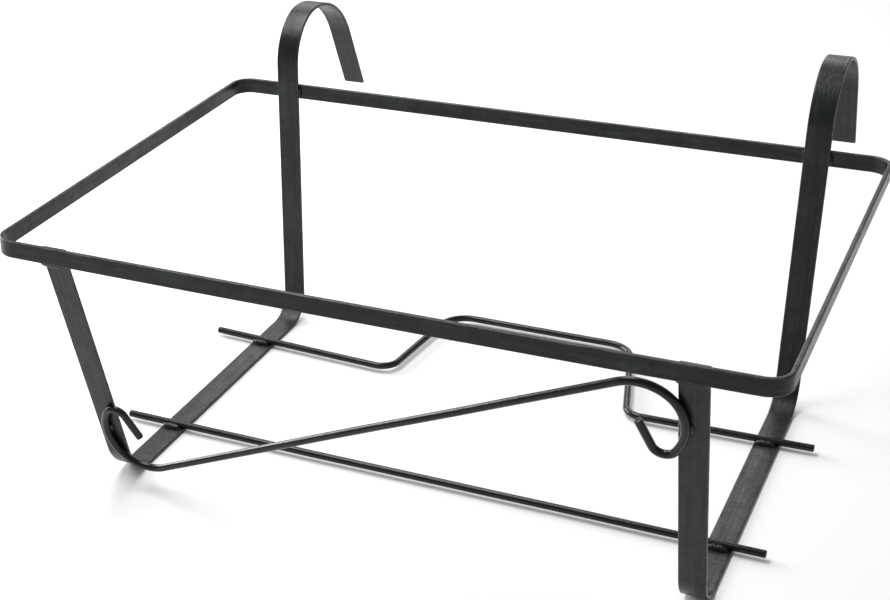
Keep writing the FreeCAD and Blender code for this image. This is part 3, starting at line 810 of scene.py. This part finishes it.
def crossing(line, x):
    """How far back a rod's line is where it passes over a bracket's middle."""
    u, v, heading = max((sample for sample in line if sample[0] <= x), key=lambda s: s[0])
    return v + (x - u) * math.tan(heading)


class HOLDER_OT_build_cross_rods(bpy.types.Operator):
    """Lay the straight front rod and the rear rod with its flat bumper"""

    bl_idname = "holder.build_cross_rods"
    bl_label = "Cross rods"
    bl_options = {"REGISTER", "UNDO"}

    def execute(self, context):
        low, high = FRONT_ROD_BOX
        flat = Flat((0, 0, (low.z + high.z) / 2), (1, 0, 0), (0, 1, 0))
        samples = bent_line((low.x, (low.y + high.y) / 2), 0.0, [(high.x - low.x,)])
        wire_piece("front_rod_wire", "front_cross_rod", flat, samples, seed=1.5)
        wire_piece("rear_rod_wire", "rear_cross_rod", flat, rear_rod_line(), seed=4.5)
        return {"FINISHED"}


def scroll_line():
    """The S of the scroll, from its left tail to its right tail, up the plane of the legs.

    It fills the height from floor to hoop and the width between the brackets. Its straight
    touches the first bends of both curls.
    """
    sizes = bpy.context.scene.holder_sizes
    left, right = bracket_middle(LEFT_BOX), bracket_middle(RIGHT_BOX)
    first, side = sizes.curl_first, sizes.curl_side
    top = HOOP_BOX[0].z / math.cos(sizes.leg_lean) - sizes.scroll_top_gap
    middle = Vector(((left + right) / 2 + sizes.scroll_offset, (top + sizes.scroll_foot_gap) / 2))
    steepness = math.sin(sizes.curl_side_slope)
    bend_across = (right - left) / 2 - sizes.scroll_inset
    bend_across -= first * steepness + side * (1 - steepness)
    bend_up = (top - sizes.scroll_foot_gap) / 2 - wire_diameter() / 2 - first
    half_run = math.sqrt(bend_across**2 + bend_up**2 - first**2)
    slope = math.atan(bend_up / bend_across) + math.atan(first / half_run)
    curl = [
        (first, slope + sizes.curl_side_slope),
        (side, sizes.curl_side_turn),
        (sizes.curl_tip, sizes.curl_tip_turn),
    ]
    outward = [(radius, -turn) for radius, turn in curl] + [(sizes.curl_tail,)]
    inward = [(sizes.curl_tail,)] + list(reversed(curl))
    right_end = line_end(middle, slope, [(half_run,)] + outward)
    start = middle * 2 - right_end
    heading = slope - sum(turn for _, turn in curl)
    return bent_line(start, heading, inward + [(2 * half_run,)] + outward)


class HOLDER_OT_build_scroll(bpy.types.Operator):
    """Curl the S-shaped scroll that lies against both legs"""

    bl_idname = "holder.build_scroll"
    bl_label = "Scroll"
    bl_options = {"REGISTER", "UNDO"}

    def execute(self, context):
        wire_piece("scroll_wire", "front_scroll", scroll_flat(), scroll_line(), seed=8.5)
        return {"FINISHED"}


BEAD_RINGS = 28
BEAD_SIDES = 16

# Depths are shares of a bead's own width and height. Pitch, lean and length are measured along
# the bead, and LUMPS_AROUND sets how many lumps go round it.
RIPPLE_DEPTH = 0.09
RIPPLE_PITCH = 0.0016
RIPPLE_LEAN = 0.0003
LUMP_DEPTH = 0.16
LUMP_LENGTH = 0.0015
LUMPS_AROUND = 1.5

# Length, width and height of each kind of bead.
LEG_BEAD = (0.0165, 0.0036, 0.0044)
HOOP_BEAD = (0.0125, 0.0034, 0.0036)
EDGE_BEAD = (0.0074, 0.0026, 0.0028)
ROD_BEAD = (0.0115, 0.0046, 0.0038)
TACK = (0.006, 0.0028, 0.0028)

# How far each kind of bead's middle stands off the corner that it fills.
LEG_BEAD_OFFSET = 0.0003
HOOP_BEAD_OFFSET = 0.0004
EDGE_BEAD_OFFSET = 0.0002

# A rod's two beads at a crossing: half their shift along the rod, and how high they stand over
# the bar, as a share of the wire's radius.
ROD_BEAD_SKEW = 0.0006
ROD_BEAD_RISE = 0.3


def bead_mesh(vertices, faces, centre, along, up, size, seed):
    """Adds one rippled weld bead: (length, width, height), tapering to both ends."""
    bead_length, width, height = size
    along = Vector(along).normalized()
    up = Vector(up).normalized()
    side = along.cross(up)
    first = len(vertices)
    for ring in range(BEAD_RINGS + 1):
        share_along = 2 * ring / BEAD_RINGS - 1
        taper = math.sqrt(max(0.0, 1 - abs(share_along) ** 3))
        travel = share_along * bead_length / 2
        ripple = 1 + RIPPLE_DEPTH * abs(math.sin(math.pi * travel / RIPPLE_PITCH + seed))
        for k in range(BEAD_SIDES):
            turn = math.tau * k / BEAD_SIDES
            around = Vector((0, math.cos(turn), math.sin(turn))) * LUMPS_AROUND
            swirl = around + Vector((travel / LUMP_LENGTH, 0, seed))
            lump = ripple * (1 + LUMP_DEPTH * noise.noise(swirl))
            offset = side * (math.cos(turn) * width / 2 * taper * lump)
            offset += up * (math.sin(turn) * height / 2 * taper * lump)
            lean = RIPPLE_LEAN * math.sin(turn)
            vertices.append(Vector(centre) + along * (travel - lean * taper) + offset)
    for ring in range(BEAD_RINGS):
        here = first + ring * BEAD_SIDES
        there = here + BEAD_SIDES
        for k in range(BEAD_SIDES):
            after = (k + 1) % BEAD_SIDES
            faces.append((here + k, there + k, there + after, here + after))


def bead_piece(name, node, beads):
    """All the beads of one node, as (centre, along, up, size) each."""
    seed_step = 1.7
    vertices = []
    faces = []
    for number, (centre, along, up, size) in enumerate(beads):
        bead_mesh(vertices, faces, centre, along, up, size, seed_step * number + len(name))
    piece = new_piece(name, vertices, faces, [0.0] * len(vertices), vertices)
    weld = piece.modifiers.new("closed_tips", "WELD")
    weld.merge_threshold = 0.00002
    return finish_piece(piece, [node], weld_coat())


class HOLDER_OT_build_welds(bpy.types.Operator):
    """Lay the weld beads on the hoop, the rods and the scroll"""

    bl_idname = "holder.build_welds"
    bl_label = "Weld beads"
    bl_options = {"REGISTER", "UNDO"}

    def execute(self, context):
        sizes = context.scene.holder_sizes
        middles = [bracket_middle(LEFT_BOX), bracket_middle(RIGHT_BOX)]
        hoop_low, hoop_high = HOOP_BOX
        across = (1, 0, 0)

        inside_front = hoop_low.y + sizes.hoop_thickness
        beads = []
        for x in middles:
            centre = (x, inside_front + LEG_BEAD_OFFSET, hoop_low.z - LEG_BEAD_OFFSET)
            beads.append((centre, across, (0, -1, -1), LEG_BEAD))
        bead_piece("leg_beads", "leg_welds", beads)

        inside_back = hoop_high.y - sizes.hoop_thickness
        to_edge = (LEFT_BOX[1].x - LEFT_BOX[0].x) / 2 + EDGE_BEAD_OFFSET
        level = (hoop_low.z + hoop_high.z) / 2
        beads = []
        for x in middles:
            centre = (x, inside_back + HOOP_BEAD_OFFSET, hoop_low.z - HOOP_BEAD_OFFSET)
            beads.append((centre, across, (0, 1, -1), HOOP_BEAD))
            for edge in (-1, 1):
                centre = (x + edge * to_edge, inside_back - EDGE_BEAD_OFFSET, level)
                beads.append((centre, (0, 0, 1), (edge, -1, 0), EDGE_BEAD))
        bead_piece("back_beads", "back_welds", beads)

        radius = wire_diameter() / 2
        level = FRONT_ROD_BOX[0].z + radius * ROD_BEAD_RISE
        front_y = (FRONT_ROD_BOX[0].y + FRONT_ROD_BOX[1].y) / 2
        rear_line = rear_rod_line()
        crossings = [(x, front_y) for x in middles]
        crossings += [(x, crossing(rear_line, x)) for x in middles]
        beads = []
        for x, y in crossings:
            for edge in (-1, 1):
                centre = (x + edge * ROD_BEAD_SKEW, y + edge * radius, level)
                beads.append((centre, across, (0, edge, 1), ROD_BEAD))
        bead_piece("rod_beads", "rod_welds", beads)

        flat = scroll_flat()
        line = scroll_line()
        lean = sizes.leg_lean
        face = Vector((0, math.cos(lean), math.sin(lean)))
        outermost = [min(line, key=lambda s: s[0]), max(line, key=lambda s: s[0])]
        beads = []
        for u, v, _ in outermost:
            for edge in (-1, 1):
                centre = flat.point(u + edge * radius, v) + face * radius
                beads.append((centre, flat.up, -face, TACK))
        bead_piece("scroll_beads", "scroll_welds", beads)
        return {"FINISHED"}


# Name, direction from the holder, width and height, and brightness of each softbox.
SOFTBOXES = [
    ("overhead_softbox", (-0.35, 0.0, 0.94), (1.2, 0.6), 8.0),
    ("left_softbox", (-0.93, 0.15, 0.33), (1.0, 0.8), 10.0),
    ("back_softbox", (-0.28, 0.82, 0.56), (1.0, 0.7), 2.0),
]


class HOLDER_OT_build_stage(bpy.types.Operator):
    """Set up the pale floor, the soft light and the camera"""

    bl_idname = "holder.build_stage"
    bl_label = "Stage"
    bl_options = {"REGISTER", "UNDO"}

    def execute(self, context):
        studio = context.scene.holder_studio
        self.add_floor(studio)
        self.add_light(studio)
        self.add_camera(studio)
        context.scene.view_settings.view_transform = "Standard"
        return {"FINISHED"}

    def add_floor(self, studio):
        reach = 12.0
        corners = [(-reach, -reach, 0), (reach, -reach, 0), (reach, reach, 0), (-reach, reach, 0)]
        mesh = bpy.data.meshes.new("floor")
        mesh.from_pydata(corners, [], [(0, 1, 2, 3)])
        floor = bpy.data.objects.new("floor", mesh)
        bpy.context.scene.collection.objects.link(floor)
        material = bpy.data.materials.new("pale_floor")
        material.use_nodes = True
        tree = material.node_tree
        shader = tree.nodes["Principled BSDF"]
        place = tree.nodes.new("ShaderNodeTexCoord")
        distance = tree.nodes.new("ShaderNodeVectorMath")
        distance.operation = "LENGTH"
        tree.links.new(place.outputs["Object"], distance.inputs[0])
        fade_start = studio.lit_floor * 0.5
        far = add_range(tree, distance.outputs["Value"], fade_start, studio.lit_floor)
        black = (0, 0, 0, 1)
        lit = add_mix(tree, far, opaque(studio.floor_colour), black)
        tree.links.new(lit, shader.inputs["Base Color"])
        glow = add_mix(tree, far, black, opaque(studio.paper))
        tree.links.new(glow, shader.inputs["Emission Color"])
        shader.inputs["Emission Strength"].default_value = 1.0
        shader.inputs["Roughness"].default_value = 0.9
        shader.inputs["Specular IOR Level"].default_value = 0.0
        mesh.materials.append(material)

    def add_light(self, studio):
        world = bpy.data.worlds.new("studio_room")
        bpy.context.scene.world = world
        world.use_nodes = True
        tree = world.node_tree
        background = tree.nodes["Background"]
        rays = tree.nodes.new("ShaderNodeLightPath")
        seen = rays.outputs["Is Camera Ray"]
        room = opaque([studio.sky] * 3)
        paper = opaque(studio.paper)
        tree.links.new(add_mix(tree, seen, room, paper), background.inputs["Color"])

        for name, towards, size, brightness in SOFTBOXES:
            lamp = bpy.data.lights.new(name, "AREA")
            lamp.shape = "RECTANGLE"
            lamp.size, lamp.size_y = size
            lamp.energy = brightness * math.pi * size[0] * size[1]
            softbox = bpy.data.objects.new(name, lamp)
            bpy.context.scene.collection.objects.link(softbox)
            direction = Vector(towards).normalized()
            softbox.location = direction * studio.softbox_distance
            softbox.rotation_mode = "QUATERNION"
            softbox.rotation_quaternion = direction.to_track_quat("Z", "Y")

    def add_camera(self, studio):
        data = bpy.data.cameras.new("photo_camera")
        data.sensor_width = 36
        data.lens = studio.lens
        data.shift_x, data.shift_y = studio.shift
        data.clip_start = 0.01
        data.clip_end = 100
        camera = bpy.data.objects.new("photo_camera", data)
        bpy.context.scene.collection.objects.link(camera)
        turn = Matrix.Rotation(studio.azimuth, 3, "Z")
        tilt = Matrix.Rotation(math.radians(90) - studio.pitch, 3, "X")
        roll = Matrix.Rotation(studio.roll, 3, "Z")
        camera.rotation_mode = "QUATERNION"
        camera.rotation_quaternion = (turn @ tilt @ roll).to_quaternion()
        camera.location = studio.eye
        bpy.context.scene.camera = camera


# ---------------------------------------------------------------- panel and registration

BUILD_ORDER = [
    HOLDER_OT_build_hoop,
    HOLDER_OT_build_brackets,
    HOLDER_OT_build_cross_rods,
    HOLDER_OT_build_scroll,
    HOLDER_OT_build_welds,
    HOLDER_OT_build_stage,
]


class HOLDER_PT_panel(bpy.types.Panel):
    """Lists the holder's pieces in the 3D view's sidebar"""

    bl_idname = "HOLDER_PT_panel"
    bl_label = "Window Box Holder"
    bl_space_type = "VIEW_3D"
    bl_region_type = "UI"
    bl_category = "Holder"

    def draw(self, context):
        for operator in BUILD_ORDER:
            self.layout.operator(operator.bl_idname)
        for group in ("holder_sizes", "holder_finish", "holder_studio"):
            settings = getattr(context.scene, group)
            box = self.layout.box()
            for name in settings.__annotations__:
                box.prop(settings, name)


PROPERTY_GROUPS = {
    "holder_sizes": HolderSizes,
    "holder_finish": HolderFinish,
    "holder_studio": StudioSettings,
}


def register():
    for name, group in PROPERTY_GROUPS.items():
        bpy.utils.register_class(group)
        setattr(bpy.types.Scene, name, bpy.props.PointerProperty(type=group))
    for operator in BUILD_ORDER:
        bpy.utils.register_class(operator)
    bpy.utils.register_class(HOLDER_PT_panel)


def unregister():
    bpy.utils.unregister_class(HOLDER_PT_panel)
    for operator in reversed(BUILD_ORDER):
        bpy.utils.unregister_class(operator)
    for name, group in reversed(PROPERTY_GROUPS.items()):
        delattr(bpy.types.Scene, name)
        bpy.utils.unregister_class(group)


def main():
    register()
    bpy.ops.holder.build_hoop()
    bpy.ops.holder.build_brackets()
    bpy.ops.holder.build_cross_rods()
    bpy.ops.holder.build_scroll()
    bpy.ops.holder.build_welds()
    bpy.ops.holder.build_stage()


if __name__ == "__main__":
    main()
